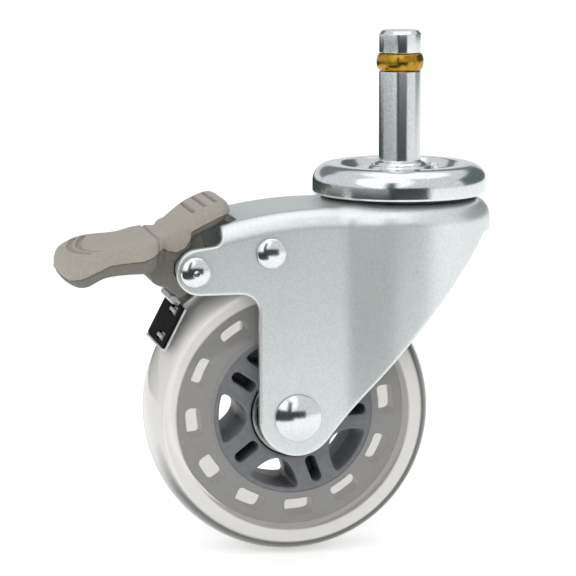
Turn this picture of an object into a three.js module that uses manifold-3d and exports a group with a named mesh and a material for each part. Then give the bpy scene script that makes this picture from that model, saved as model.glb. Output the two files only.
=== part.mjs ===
// Swivel chair caster with a grip-ring stem and a pedal brake. Millimetres, +Z up.
// Origin: swivel axis in the seat plane, which is the flat crest of the raceway cap. Heights below
// are given from the shoulder plane at the foot of the stem; the assembly is lowered at the end.
// The wheel trails towards -X, its axle lies along Y, and the brake pedal points to -X.
import * as THREE from 'three';
import { mergeVertices } from 'three/addons/utils/BufferGeometryUtils.js';
import Module from 'manifold-3d';

const wasm = await Module();
wasm.setup();

// ---------------------------------------------------------------- driving dimensions
const GAP = 0.3; // running and resting gap between neighbouring pieces
const SEGMENTS = 32; // facets round a full circle
const WHEEL_SEGMENTS = 48; // facets round the wheel
const HEAD_SEGMENTS = 40; // facets round the fork's head
const SMALL_SEGMENTS = 20; // facets round pins, rivets and bearing rings
const BALL_SEGMENTS = 6;
const THROUGH = 30; // half-length of a tool that cuts right through the part along Y
const DEEP = -90; // below every piece

const WHEEL_RADIUS = 38;
const WHEEL_HALF_WIDTH = 12;
const SWIVEL_LEAD = 31.2; // swivel axis to wheel axle, along X
const AXLE_DROP = 63.3; // shoulder plane to wheel axle
const AXLE = { x: -SWIVEL_LEAD, z: -AXLE_DROP };

const STEM_RADIUS = 5.55; // 7/16 inch grip-ring stem
const STEM_TOP = 36.5; // top of the stem above the shoulder plane
const STEM_CHAMFER = 0.9;
const RING_GROOVE = { radius: 4.5, low: 25.6, high: 30.8 };
const GRIP_RING = { inner: 4.8, outer: 6.2, low: 25.9, high: 30.5, slit: 1.4, slitAt: 60 };
const STEM_BOSS = { radius: 7.2, top: 1.6, low: -2.3 };
const KINGPIN = { radius: 5, headRadius: 6.4, headTop: -18.2, headLow: -20.2 };

const CAP = {
  radius: 23.2,
  crest: 1.2, // height of the flat seat ring
  crestIn: 15.9, // inner radius of the flat seat ring
  edge: 4.6, // radius of the rounded outer edge
  recess: { radius: 14.6, z: -0.9 }, // where the recess's wall turns towards its floor
  floorRadius: 12.4,
  floor: -2.6,
  low: -6.5,
  sheet: 1.8,
};
const COLLAR = {
  inner: 7.5,
  outer: 10,
  low: -2.3,
  high: 0.8,
  lug: { from: 8, to: 10.4, half: 1.6, high: 1.1 }, // bent up beside the stem, at +X
};
const SEAL = { inner: 20, outer: 21.1, high: -4.5, low: -7.2 };

const UPPER_BALLS = { count: 12, radius: 2.8, pitch: 16.9, z: -4.35, cage: 1.5, web: 0.4 };
const LOWER_BALLS = { count: 12, radius: 2, pitch: 10, z: -12.35, cage: 1.2, web: 0.35 };
const RACE_CUP = { outer: 14.6, rim: 13.2, floor: -14.7, low: -16.5, top: -12.2 };
const KINGPIN_WASHER = { outer: 8.5, high: -16.8, low: -17.9 };

const SHEET = 2.5; // fork sheet thickness
const FORK = {
  crown: -7.5, // top of the crown
  headRadius: 24.1,
  shoulder: 5.5,
  halfWidth: 18.3, // outer face of each leg
  bend: 5, // outside radius between web and leg
  webTop: -8.6,
  webStart: -22, // where the web begins to slope down
  webCurve: 0.0045,
  webEnd: -51.1, // front edge of the web beside each arm
  relief: { x: -46.4, halfWidth: 13.9 }, // cut-back between the arms for the pedal's short lobe
  skirtLow: -16.2, // lower edge of the skirt at +X
  skirtX: 19.7,
  axleLobe: 10.2,
  legBack: -41.3,
  armLow: -30.3,
  cornerRadius: 5,
  armEnd: { x: -57, z: -24.2, radius: 6.1 },
  notchRadius: 2.4,
  kingpinHole: 7.5,
};

const AXLE_RADIUS = 3.7;
const AXLE_HEAD = { radius: 6.15, low: 18.6, crown: 21 };
const AXLE_NUT = { acrossCorners: 7.5, low: 18.6, high: 25.2, tail: 26.4 };
const BEARING = {
  bore: 4,
  innerLand: 5.2,
  outerLand: 9.8,
  outer: 11,
  face: 12.1, // outer face, from the wheel's middle plane
  width: 7,
  balls: 7,
  ballRadius: 1.98,
  pitch: 7.5,
  cage: 0.8,
  web: 0.4,
};
const SPACER_RADIUS = 5.4;

const CORE = {
  halfWidth: 12,
  rim: 21.3,
  windowOut: 19.9,
  windowIn: 12.5,
  windowLength: 13.7,
  slotIn: 12.3,
  slotOut: 19.4,
  slotWidth: 2.9,
  slotWeb: 1, // half-thickness of the web left between opposite slots
  spokes: 5,
  firstWindow: 38, // degrees from +X
  firstSlot: 2,
  flangeRadius: 30.5,
  flangeHalf: 5.6,
  pockets: 12,
  pocketLength: 7.5,
  pocketIn: 24,
  pocketOut: 28,
  firstPocket: 5,
};
const TYRE_SHOULDER = 35; // radius where the side face meets the tread curve

const RIVET = { shaft: 2.9, hole: 3.2, head: 4.05, crown: 1.7 };
const PIVOT = { x: -58.2, z: -24.1 }; // pedal pivot
const ANCHOR = { x: -38.2, z: -19.6 }; // brake spring anchor
const PIVOT_SLEEVE = 4.2;
const ANCHOR_SLEEVE = 3.6;

const CAM = {
  halfWidth: 11,
  bore: 4.5,
  contact: 8, // radius under the follower at rest
  contactAngle: 244.6,
  lift: 0.008, // growth per degree of pedal travel
  from: 217, // the follower's track along the lobe, in degrees about the pivot
  to: 252,
  nose: 10.6,
  hub: 6.3,
};

const SPRING = {
  thickness: 0.6,
  halfWidth: 7.8,
  eye: 4.4,
  eyeTurn: 285,
  bladeStart: 39.75, // radius about the axle where the blade leaves the eye
};
// The shoe lies on a straight line beside the tread: `facing` is the angle of its outward normal
// about the axle, `high` and `low` are places along it, counted from the foot of that normal.
const SHOE = {
  facing: 152.8,
  inner: 38.45,
  high: -12.6,
  low: -0.8,
  plate: 0.6,
  halfWidth: 13,
  slots: [-10.4, -2.9],
  slotLow: -8.6,
  slotHigh: -0.6,
  slotHalf: 1.15,
  tab: 1.3,
};
const FOLLOWER = { out: 41.6, along: -13.1, radius: 1.1, halfLength: 7.8 };

// ---------------------------------------------------------------- small tools
const radians = (degrees) => THREE.MathUtils.degToRad(degrees);
const v2 = (x, y) => new THREE.Vector2(x, y);

const polar = (centre, radius, degrees) => [
  centre.x + radius * Math.cos(radians(degrees)),
  centre.z + radius * Math.sin(radians(degrees)),
];

// Points of an arc, ends included.
function arc(centre, radius, from, to, steps) {
  const points = [];
  for (let i = 0; i <= steps; i += 1) {
    points.push(polar(centre, radius, from + ((to - from) * i) / steps));
  }
  return points;
}

function solid(geometry) {
  const bare = geometry.clone();
  bare.deleteAttribute('normal');
  bare.deleteAttribute('uv');
  const merged = mergeVertices(bare, 1e-4);
  const mesh = new wasm.Mesh({
    numProp: 3,
    vertProperties: new Float32Array(merged.attributes.position.array),
    triVerts: new Uint32Array(merged.index.array),
  });
  mesh.merge();
  return new wasm.Manifold(mesh);
}

function geometryOf(body) {
  const mesh = body.getMesh();
  const geometry = new THREE.BufferGeometry();
  geometry.setAttribute('position', new THREE.BufferAttribute(mesh.vertProperties, 3));
  geometry.setIndex(new THREE.BufferAttribute(mesh.triVerts, 1));
  return geometry;
}

// Solid of revolution about the vertical line x = y = 0. Profile: [radius, z], counter-clockwise.
function turnedZ(profile, segments = SEGMENTS) {
  const points = profile.map(([radius, z]) => v2(Math.max(radius, 0), z));
  return new THREE.LatheGeometry(points, segments).rotateX(Math.PI / 2);
}

// Solid of revolution about a line along Y through (x, z). Profile: [radius, y], counter-clockwise.
function turnedY(profile, centre, segments = SEGMENTS) {
  const points = profile.map(([radius, y]) => v2(Math.max(radius, 0), y));
  return new THREE.LatheGeometry(points, segments).translate(centre.x, 0, centre.z);
}

const closed = (profile) => [...profile, profile[0]];

const ringProfile = (inner, outer, low, high) =>
  closed([[inner, low], [outer, low], [outer, high], [inner, high]]);

const rodProfile = (radius, low, high) => [[0, low], [radius, low], [radius, high], [0, high]];

function extruded(points, depth, steps = 1) {
  const shape = new THREE.Shape(points.map(([a, b]) => v2(a, b)));
  return new THREE.ExtrudeGeometry(shape, { depth, steps, bevelEnabled: false });
}

// Outline in the XZ plane, extruded along Y.
function slabY(points, low, high) {
  return extruded(points, high - low).rotateX(Math.PI / 2).translate(0, high, 0);
}

// Outline in the XY plane, extruded along Z.
function slabZ(points, low, high) {
  return extruded(points, high - low).translate(0, 0, low);
}

const block = (x0, x1, y0, y1, z0, z1) =>
  new THREE.BoxGeometry(x1 - x0, y1 - y0, z1 - z0).translate((x0 + x1) / 2, (y0 + y1) / 2, (z0 + z1) / 2);

const holeY = (centre, radius, low, high, segments = SMALL_SEGMENTS) =>
  solid(turnedY(rodProfile(radius, low, high), centre, segments));

// ---------------------------------------------------------------- materials
const finish = (color, roughness, metalness) =>
  new THREE.MeshStandardMaterial({ color, roughness, metalness });

const chrome = finish(0xd4d8da, 0.18, 1);
const zinc = finish(0xc6cecb, 0.36, 0.9);
const brass = finish(0xb8871f, 0.28, 1);
const bearingSteel = finish(0xb9bcc0, 0.22, 1);
const springSteel = finish(0xc2c6c6, 0.3, 1);
const blackRubber = finish(0x161616, 0.7, 0);
const blackPlastic = finish(0x1b1b1a, 0.45, 0);
const greyNylon = finish(0x77797f, 0.5, 0);
const clearUrethane = finish(0xd5d2cb, 0.12, 0);
const taupePad = finish(0x99918a, 0.6, 0);
const taupeNylon = finish(0x827a72, 0.6, 0);

const caster = new THREE.Group();
const assembly = new THREE.Group();
assembly.position.z = -CAP.crest; // puts the seat plane at z = 0
caster.add(assembly);

function add(name, shape, material) {
  const geometry = shape.isBufferGeometry ? shape : geometryOf(shape);
  const mesh = new THREE.Mesh(geometry, material);
  mesh.name = name;
  assembly.add(mesh);
}

// ---------------------------------------------------------------- stem and swivel head
function stem() {
  return turnedZ([
    [0, KINGPIN.headLow],
    [KINGPIN.headRadius - 2.2, KINGPIN.headLow],
    [KINGPIN.headRadius, KINGPIN.headLow + 1.1],
    [KINGPIN.headRadius, KINGPIN.headTop],
    [KINGPIN.radius, KINGPIN.headTop],
    [KINGPIN.radius, STEM_BOSS.low],
    [STEM_BOSS.radius, STEM_BOSS.low],
    [STEM_BOSS.radius, STEM_BOSS.top - 0.8],
    [STEM_BOSS.radius - 0.5, STEM_BOSS.top - 0.1],
    [STEM_RADIUS + 0.4, STEM_BOSS.top + 0.2],
    [STEM_RADIUS, STEM_BOSS.top + 0.8],
    [STEM_RADIUS, RING_GROOVE.low],
    [RING_GROOVE.radius, RING_GROOVE.low],
    [RING_GROOVE.radius, RING_GROOVE.high],
    [STEM_RADIUS, RING_GROOVE.high],
    [STEM_RADIUS, STEM_TOP - STEM_CHAMFER],
    [STEM_RADIUS - STEM_CHAMFER, STEM_TOP],
    [0, STEM_TOP],
  ]);
}

function gripRing() {
  const middle = (GRIP_RING.low + GRIP_RING.high) / 2;
  const half = (GRIP_RING.high - GRIP_RING.low) / 2;
  const bulge = [];
  for (let i = 0; i <= 4; i += 1) {
    const part = (i - 2) / 2;
    bulge.push([GRIP_RING.outer - 0.8 * part ** 2, middle + half * part]);
  }
  const profile = [[GRIP_RING.inner, GRIP_RING.low], ...bulge, [GRIP_RING.inner, GRIP_RING.high]];
  const ring = solid(turnedZ(closed(profile)));
  const slitHalf = GRIP_RING.slit / 2;
  const slit = block(0, GRIP_RING.outer + 1, -slitHalf, slitHalf, GRIP_RING.low - 1, GRIP_RING.high + 1);
  return ring.subtract(solid(slit.rotateZ(radians(GRIP_RING.slitAt))));
}

function racewayCap() {
  const edge = { x: CAP.radius - CAP.edge, z: CAP.crest - CAP.edge };
  const outerEdge = arc(edge, CAP.edge, 0, 90, 5);
  const innerEdge = arc(edge, CAP.edge - CAP.sheet, 90, 0, 3);
  return turnedZ(closed([
    [KINGPIN.radius + GAP, CAP.floor - CAP.sheet],
    [CAP.floorRadius, CAP.floor - CAP.sheet],
    [CAP.recess.radius, CAP.recess.z - 1.2],
    [CAP.crestIn + 0.5, CAP.crest - CAP.sheet],
    ...innerEdge,
    [CAP.radius - CAP.sheet, CAP.low],
    [CAP.radius - 0.3, CAP.low],
    [CAP.radius, CAP.low + 0.3],
    ...outerEdge,
    [CAP.crestIn, CAP.crest],
    [CAP.recess.radius, CAP.recess.z],
    [CAP.floorRadius, CAP.floor],
    [KINGPIN.radius + GAP, CAP.floor],
  ]));
}

// Coned washer round the foot of the stem, with one lug bent up beside it.
function stemCollar() {
  const { inner, outer, low, high, lug } = COLLAR;
  const ring = solid(turnedZ(closed([
    [inner, low],
    [outer - 0.4, low],
    [outer, low + 0.9],
    [outer - 0.7, high - 1.4],
    [inner + 0.6, high],
    [inner, high],
  ])));
  return ring.add(solid(block(lug.from, lug.to, -lug.half, lug.half, low + 0.3, lug.high)));
}

const dustSeal = () => turnedZ(ringProfile(SEAL.inner, SEAL.outer, SEAL.low, SEAL.high));

function ball(radius) {
  const geometry = new THREE.SphereGeometry(radius, BALL_SEGMENTS, BALL_SEGMENTS - 2);
  return solid(geometry.rotateX(Math.PI / 2));
}

// Balls held in a flat retainer ring, about the Z axis at height z.
function ballRing({ count, radius, pitch, z, cage, web }) {
  let ring = solid(turnedZ(ringProfile(pitch - cage, pitch + cage, z - web, z + web)));
  for (let i = 0; i < count; i += 1) {
    const turn = (2 * Math.PI * i) / count;
    ring = ring.add(ball(radius).translate([pitch * Math.cos(turn), pitch * Math.sin(turn), z]));
  }
  return ring;
}

const lowerRaceCup = () =>
  turnedZ(closed([
    [KINGPIN.radius + GAP, RACE_CUP.low],
    [RACE_CUP.outer - 1, RACE_CUP.low],
    [RACE_CUP.outer, RACE_CUP.low + 1],
    [RACE_CUP.outer, RACE_CUP.top],
    [RACE_CUP.rim, RACE_CUP.top],
    [RACE_CUP.rim, RACE_CUP.floor + 0.8],
    [RACE_CUP.rim - 0.8, RACE_CUP.floor],
    [KINGPIN.radius + GAP, RACE_CUP.floor],
  ]));

function kingpinWasher() {
  const { outer, low, high } = KINGPIN_WASHER;
  return turnedZ(ringProfile(KINGPIN.radius + GAP, outer, low, high), SMALL_SEGMENTS);
}

// ---------------------------------------------------------------- fork
// Round head: a cup whose wall runs down further than the legs need.
function headCup(inset) {
  const radius = FORK.headRadius - inset;
  const corner = { x: FORK.headRadius - FORK.shoulder, z: FORK.crown - FORK.shoulder };
  const top = FORK.crown - inset;
  const shoulder = arc(corner, FORK.shoulder - inset, 0, 90, 4);
  return turnedZ([[0, DEEP], [radius, DEEP], ...shoulder, [0, top]], HEAD_SEGMENTS);
}

// Channel of the two legs and the web between them; its roof follows the web's slope.
function channel(inset) {
  const half = FORK.halfWidth - inset;
  const round = FORK.bend - inset;
  const right = arc({ x: half - round, z: -FORK.bend }, round, 0, 90, 3);
  const left = arc({ x: round - half, z: -FORK.bend }, round, 90, 180, 3);
  const section = [[-half, DEEP], [half, DEEP], ...right, ...left];
  const length = 68; // from the swivel axis to past the end of the arms
  const geometry = extruded(section, length, 12);
  geometry.rotateX(Math.PI / 2).rotateZ(Math.PI / 2).translate(-length, 0, 0);
  const position = geometry.attributes.position;
  for (let i = 0; i < position.count; i += 1) {
    const slope = Math.min(position.getX(i) - FORK.webStart, 0);
    position.setZ(i, position.getZ(i) + FORK.webTop - FORK.webCurve * slope * slope);
  }
  return geometry;
}

// Point where a line from `from` touches the circle on its right-hand side.
function tangentAngle(from, centre, radius) {
  const dx = from[0] - centre.x;
  const dz = from[1] - centre.z;
  const toward = THREE.MathUtils.radToDeg(Math.atan2(dz, dx));
  return toward - THREE.MathUtils.radToDeg(Math.acos(radius / Math.hypot(dx, dz)));
}

function sideOutline() {
  const skirt = [FORK.skirtX, FORK.skirtLow - 0.2];
  const lobe = tangentAngle(skirt, AXLE, FORK.axleLobe);
  const corner = { x: FORK.legBack - FORK.cornerRadius, z: FORK.armLow - FORK.cornerRadius };
  const arm = FORK.armEnd;
  const notch = { x: FORK.webEnd - FORK.notchRadius, z: arm.z + arm.radius + 0.5 + FORK.notchRadius };
  return [
    [26, 0],
    [26, FORK.skirtLow],
    [FORK.skirtX + 1.5, FORK.skirtLow],
    skirt,
    ...arc(AXLE, FORK.axleLobe, lobe, -172, 10),
    [FORK.legBack, AXLE.z],
    ...arc(corner, FORK.cornerRadius, 0, 90, 4),
    ...arc(arm, arm.radius, 270, 97, 8),
    ...arc(notch, FORK.notchRadius, 278, 360, 4),
    [FORK.webEnd, 0],
  ];
}

function fork() {
  const outside = solid(headCup(0)).add(solid(channel(0)));
  const inside = solid(headCup(SHEET)).add(solid(channel(SHEET)));
  let body = outside.subtract(inside).intersect(solid(slabY(sideOutline(), -THROUGH, THROUGH)));
  body = body.subtract(solid(turnedZ(rodProfile(FORK.kingpinHole, -20, 0))));
  const relief = FORK.relief;
  body = body.subtract(solid(block(-60, relief.x, -relief.halfWidth, relief.halfWidth, -18, 0)));
  body = body.subtract(holeY(AXLE, AXLE_RADIUS + GAP, -THROUGH, THROUGH));
  body = body.subtract(holeY(PIVOT, RIVET.hole, -THROUGH, THROUGH));
  return body.subtract(holeY(ANCHOR, RIVET.hole, -THROUGH, THROUGH));
}

// ---------------------------------------------------------------- axle and wheel bearings
function axleBolt() {
  const { radius, low, crown } = AXLE_HEAD;
  return turnedY([
    [0, -crown],
    [radius * 0.45, -crown + 0.25],
    [radius * 0.8, -crown + 0.9],
    [radius, -crown + 1.8],
    [radius, -low],
    [AXLE_RADIUS, -low],
    [AXLE_RADIUS, AXLE_NUT.tail],
    [0, AXLE_NUT.tail],
  ], AXLE, SEGMENTS);
}

function axleNut() {
  const hexagon = arc(AXLE, AXLE_NUT.acrossCorners, 0, 300, 5);
  const body = solid(slabY(hexagon, AXLE_NUT.low, AXLE_NUT.high - 1.6));
  const insert = solid(turnedY(rodProfile(6.1, AXLE_NUT.low, AXLE_NUT.high), AXLE, SMALL_SEGMENTS));
  return body.add(insert).subtract(holeY(AXLE, AXLE_RADIUS + GAP, 0, THROUGH));
}

const axleSpacer = (low, high) =>
  turnedY(ringProfile(BEARING.bore, SPACER_RADIUS, low, high), AXLE, SMALL_SEGMENTS);

// One deep-groove bearing; side is -1 for the near bearing and +1 for the far one.
function bearing(label, side) {
  const outerFace = side * BEARING.face;
  const innerFace = side * (BEARING.face - BEARING.width);
  const low = Math.min(outerFace, innerFace);
  const high = Math.max(outerFace, innerFace);
  const middle = (low + high) / 2;
  const innerRing = ringProfile(BEARING.bore, BEARING.innerLand, low, high);
  const outerRing = ringProfile(BEARING.outerLand, BEARING.outer, low, high);
  add(`bearing_inner_ring_${label}`, turnedY(innerRing, AXLE, SMALL_SEGMENTS), bearingSteel);
  add(`bearing_outer_ring_${label}`, turnedY(outerRing, AXLE), bearingSteel);

  const { pitch, cage: cageAcross, web } = BEARING;
  const cageRing = ringProfile(pitch - cageAcross, pitch + cageAcross, middle - web, middle + web);
  let cage = solid(turnedY(cageRing, AXLE, SMALL_SEGMENTS));
  for (let i = 0; i < BEARING.balls; i += 1) {
    const [x, z] = polar(AXLE, pitch, (360 * i) / BEARING.balls);
    cage = cage.add(ball(BEARING.ballRadius).translate([x, middle, z]));
  }
  add(`bearing_ball_cage_${label}`, cage, bearingSteel);

  const shieldNear = outerFace - side * 0.2;
  const shieldFar = outerFace - side * 0.7;
  const shield = ringProfile(
    BEARING.innerLand + GAP,
    BEARING.outerLand - GAP,
    Math.min(shieldNear, shieldFar),
    Math.max(shieldNear, shieldFar),
  );
  add(`bearing_shield_${label}`, turnedY(shield, AXLE, SMALL_SEGMENTS), blackRubber);
}

// ---------------------------------------------------------------- wheel
// Lens-shaped window: two arcs, the outer one on the rim, the inner one bulging towards the hub.
function lensWindow(degrees) {
  const half = CORE.windowLength / 2;
  const points = [];
  const steps = 6;
  for (let i = 0; i <= steps; i += 1) {
    const across = -half + (CORE.windowLength * i) / steps;
    points.push([Math.sqrt(CORE.windowOut ** 2 - across ** 2), across]);
  }
  const chord = Math.sqrt(CORE.windowOut ** 2 - half ** 2);
  for (let i = steps - 1; i > 0; i -= 1) {
    const across = -half + (CORE.windowLength * i) / steps;
    points.push([chord - (chord - CORE.windowIn) * (1 - (across / half) ** 2), across]);
  }
  return turnedOutline(points, degrees);
}

// Rounded slot from radius `inner` to `outer`, `width` wide.
function slotWindow(inner, outer, width, degrees) {
  const round = Math.min(width, outer - inner) * 0.4;
  const half = width / 2;
  const corners = [
    [outer - round, half - round, 0],
    [inner + round, half - round, 90],
    [inner + round, round - half, 180],
    [outer - round, round - half, 270],
  ];
  const points = corners.flatMap(([x, z, start]) => arc({ x, z }, round, start, start + 90, 1));
  return turnedOutline(points, degrees);
}

// Outline drawn along +X from the wheel's centre, turned about the axle and placed there.
function turnedOutline(points, degrees) {
  const turn = radians(degrees);
  return points.map(([a, b]) => [
    AXLE.x + a * Math.cos(turn) - b * Math.sin(turn),
    AXLE.z + a * Math.sin(turn) + b * Math.cos(turn),
  ]);
}

function wheelCore() {
  const seat = BEARING.face - BEARING.width - GAP;
  const barrel = turnedY(closed([
    [BEARING.outer - 1.4, -seat],
    [BEARING.outer + GAP, -seat],
    [BEARING.outer + GAP, -CORE.halfWidth],
    [CORE.rim, -CORE.halfWidth],
    [CORE.rim, -CORE.flangeHalf],
    [CORE.flangeRadius, -CORE.flangeHalf],
    [CORE.flangeRadius, CORE.flangeHalf],
    [CORE.rim, CORE.flangeHalf],
    [CORE.rim, CORE.halfWidth],
    [BEARING.outer + GAP, CORE.halfWidth],
    [BEARING.outer + GAP, seat],
    [BEARING.outer - 1.4, seat],
  ]), AXLE, WHEEL_SEGMENTS);
  let core = solid(barrel);
  const reach = CORE.halfWidth + 1;
  for (let i = 0; i < CORE.spokes; i += 1) {
    const step = (360 * i) / CORE.spokes;
    core = core.subtract(solid(slabY(lensWindow(CORE.firstWindow + step), -reach, reach)));
    const slot = slotWindow(CORE.slotIn, CORE.slotOut, CORE.slotWidth, CORE.firstSlot + step);
    core = core.subtract(solid(slabY(slot, -reach, -CORE.slotWeb)));
    core = core.subtract(solid(slabY(slot, CORE.slotWeb, reach)));
  }
  for (let i = 0; i < CORE.pockets; i += 1) {
    const degrees = CORE.firstPocket + (360 * i) / CORE.pockets;
    const pocket = slotWindow(CORE.pocketIn, CORE.pocketOut, CORE.pocketLength, degrees);
    core = core.subtract(solid(slabY(pocket, -reach, reach)));
  }
  return core;
}

// Radius of the tread at a distance y from the wheel's middle plane.
function treadRadius(y) {
  const across = Math.abs(y) / WHEEL_HALF_WIDTH;
  return TYRE_SHOULDER + (WHEEL_RADIUS - TYRE_SHOULDER) * Math.sqrt(1 - across ** 2.4);
}

function tyre() {
  const tread = [];
  const steps = 10;
  for (let i = 0; i <= steps; i += 1) {
    const y = -WHEEL_HALF_WIDTH * Math.cos((Math.PI * i) / steps);
    tread.push([treadRadius(y), y]);
  }
  const inner = CORE.rim + GAP;
  const groove = CORE.flangeHalf + GAP;
  const bottom = CORE.flangeRadius + GAP;
  return turnedY(closed([
    [inner, -WHEEL_HALF_WIDTH],
    ...tread,
    [inner, WHEEL_HALF_WIDTH],
    [inner, groove],
    [bottom, groove],
    [bottom, -groove],
    [inner, -groove],
  ]), AXLE, WHEEL_SEGMENTS);
}

// ---------------------------------------------------------------- brake
function rivet(centre) {
  const face = FORK.halfWidth + GAP;
  const crown = face + RIVET.crown;
  return turnedY([
    [0, -crown],
    [RIVET.head * 0.6, -crown + 0.3],
    [RIVET.head * 0.9, -crown + 0.9],
    [RIVET.head, -face],
    [RIVET.shaft, -face],
    [RIVET.shaft, face],
    [RIVET.head, face],
    [RIVET.head * 0.9, crown - 0.9],
    [RIVET.head * 0.6, crown - 0.3],
    [0, crown],
  ], centre, SMALL_SEGMENTS);
}

const sleeve = (centre, radius) => {
  const half = FORK.halfWidth - SHEET - GAP;
  return turnedY(ringProfile(RIVET.hole, radius, -half, half), centre, SMALL_SEGMENTS);
};

// Plan outline of the pedal: half-widths along X, mirrored.
function pedalPlan(inset) {
  const halfWidths = [
    [-92.7, 5], [-92, 9], [-90, 14], [-87, 17], [-83, 18], [-77, 17.6], [-71, 17.8],
    [-68, 16.6], [-66, 14.4], [-64.8, 13], [-61, 12.6], [-57, 12.8], [-52, 13.2],
    [-49, 12.4], [-47.4, 10], [-46.9, 6],
  ];
  const near = halfWidths.map(([x, half]) => [x, -(half - inset)]);
  const far = halfWidths.map(([x, half]) => [x, half - inset]).reverse();
  return [...near, ...far];
}

// Line where the soft pad meets the pedal body, from the long lobe's tip to the short lobe's tip.
const PARTING = [
  [-92.8, -24.6], [-90.5, -26], [-87.5, -25.3], [-84, -23.5], [-80, -21.7], [-74, -21.1],
  [-71.5, -20.9], [-69, -20], [-66.2, -18], [-64.6, -19], [-62.3, -19.4], [-60, -18.4],
  [-58.7, -16.2], [-58.2, -14.2], [-54.5, -12.2], [-50.6, -10.3], [-46.8, -9.2],
];

function pedalPad() {
  const top = [
    [-47, -8.2], [-48.6, -6.6], [-51, -6.6], [-54, -7.7], [-57, -9.2], [-60.6, -11.9],
    [-64.4, -15], [-66.5, -15.2], [-69, -15.8], [-74, -17.2], [-80, -17.6], [-85, -18.5],
    [-88, -19.5], [-91, -20.4], [-92.6, -22.2],
  ];
  const pad = solid(slabY([...PARTING, ...top], -THROUGH, THROUGH));
  return pad.intersect(solid(slabZ(pedalPlan(0), DEEP, 0)));
}

// Radius of the cam lobe at an angle about the pedal pivot.
function camRadius(degrees) {
  const track = THREE.MathUtils.clamp(degrees, CAM.from, CAM.to);
  const radius = CAM.contact + CAM.lift * (CAM.contactAngle - track);
  if (degrees < CAM.from) {
    return Math.min(CAM.nose, radius + 0.14 * (CAM.from - degrees));
  }
  return Math.max(CAM.hub, radius - 0.12 * (degrees - track));
}

function pedalBody() {
  const parting = PARTING.map(([x, z]) => [x, z - GAP]).reverse();
  const underside = [
    [-92.4, -25.6], [-91, -27], [-88.5, -28], [-86, -27.7], [-84, -26.6], [-81, -25.3],
    [-75, -24.7], [-69, -24.4], [-66, -22.4], [-61, -21.6], [-57.2, -16], [-50.9, -12.9],
    [-47.3, -10],
  ];
  const shell = solid(slabY([...parting, ...underside], -THROUGH, THROUGH));
  const shells = shell.intersect(solid(slabZ(pedalPlan(GAP), DEEP, 0)));
  const lobe = [];
  for (let degrees = 187; degrees <= 400; degrees += degrees < 260 ? 5 : 20) {
    lobe.push(polar(PIVOT, camRadius(degrees), degrees));
  }
  const cheeks = [
    [-55.4, -14.6], [-58.8, -17], [-60.2, -19.2], [-62.3, -20.2], [-64.7, -19.8], [-66.2, -19.2],
    [-69, -21.4],
  ];
  const cam = solid(slabY([...lobe, ...cheeks], -CAM.halfWidth, CAM.halfWidth));
  return shells.add(cam).subtract(holeY(PIVOT, CAM.bore, -THROUGH, THROUGH));
}

// Closed outline of a strip that follows a line of points.
function strip(line, thickness) {
  const sides = [1, -1].map((side) =>
    line.map(([x, z], i) => {
      const before = line[Math.max(i - 1, 0)];
      const after = line[Math.min(i + 1, line.length - 1)];
      const run = Math.hypot(after[0] - before[0], after[1] - before[1]);
      const offset = (side * thickness) / 2 / run;
      return [x - (after[1] - before[1]) * offset, z + (after[0] - before[0]) * offset];
    }));
  return [...sides[0], ...sides[1].reverse()];
}

// Point beside the tread: `out` from the axle along the shoe's normal, `along` down its face.
function shoePoint(out, along) {
  const turn = radians(SHOE.facing);
  return [
    AXLE.x + out * Math.cos(turn) - along * Math.sin(turn),
    AXLE.z + out * Math.sin(turn) + along * Math.cos(turn),
  ];
}

const shoeBar = (out0, out1, along0, along1, low, high) =>
  solid(slabY([
    shoePoint(out0, along0),
    shoePoint(out1, along0),
    shoePoint(out1, along1),
    shoePoint(out0, along1),
  ], low, high));

// Leaf spring: an eye round the anchor sleeve, a blade that follows the tread, and a wide end
// under the shoe plate with a turned-up lip and two tabs that hold the plate.
function brakeSpring() {
  const away = THREE.MathUtils.radToDeg(Math.atan2(ANCHOR.z - AXLE.z, ANCHOR.x - AXLE.x));
  const eye = arc(ANCHOR, SPRING.eye, away + 180 + SPRING.eyeTurn, away + 180, 16);
  const middle = SHOE.inner + SPRING.thickness / 2;
  const last = Math.hypot(middle, SHOE.high);
  const lastAngle = SHOE.facing + THREE.MathUtils.radToDeg(Math.atan2(SHOE.high, middle));
  const blade = [];
  const steps = 8;
  for (let i = 1; i <= steps; i += 1) {
    const part = i / steps;
    const radius = SPRING.bladeStart + (last - SPRING.bladeStart) * part ** 2;
    blade.push(polar(AXLE, radius, away + (lastAngle - away) * part));
  }
  const line = [...eye, ...blade, shoePoint(middle, SHOE.high + 1.5)];
  const leaf = solid(slabY(strip(line, SPRING.thickness), -SPRING.halfWidth, SPRING.halfWidth));

  const outer = SHOE.inner + SPRING.thickness;
  const half = SHOE.halfWidth;
  let spring = leaf.add(shoeBar(SHOE.inner, outer, SHOE.high, SHOE.low + 0.7, -half, half));
  spring = spring.add(shoeBar(SHOE.inner, outer + 0.8, SHOE.low + 0.1, SHOE.low + 0.7, -half, half));
  for (const along of SHOE.slots) {
    const low = SHOE.slotLow + 0.8;
    const high = SHOE.slotHigh - 0.8;
    spring = spring.add(shoeBar(outer - 0.2, outer + SHOE.tab, along - 0.5, along + 0.5, low, high));
  }
  return spring;
}

function brakeShoe() {
  const inner = SHOE.inner + SPRING.thickness + 0.1;
  const outer = inner + SHOE.plate;
  let plate = shoeBar(inner, outer, SHOE.high, SHOE.low, -SHOE.halfWidth, SHOE.halfWidth);
  for (const along of SHOE.slots) {
    const from = along - SHOE.slotHalf;
    const to = along + SHOE.slotHalf;
    plate = plate.subtract(shoeBar(inner - 1, outer + 1, from, to, SHOE.slotLow, SHOE.slotHigh));
  }
  return plate;
}

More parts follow.
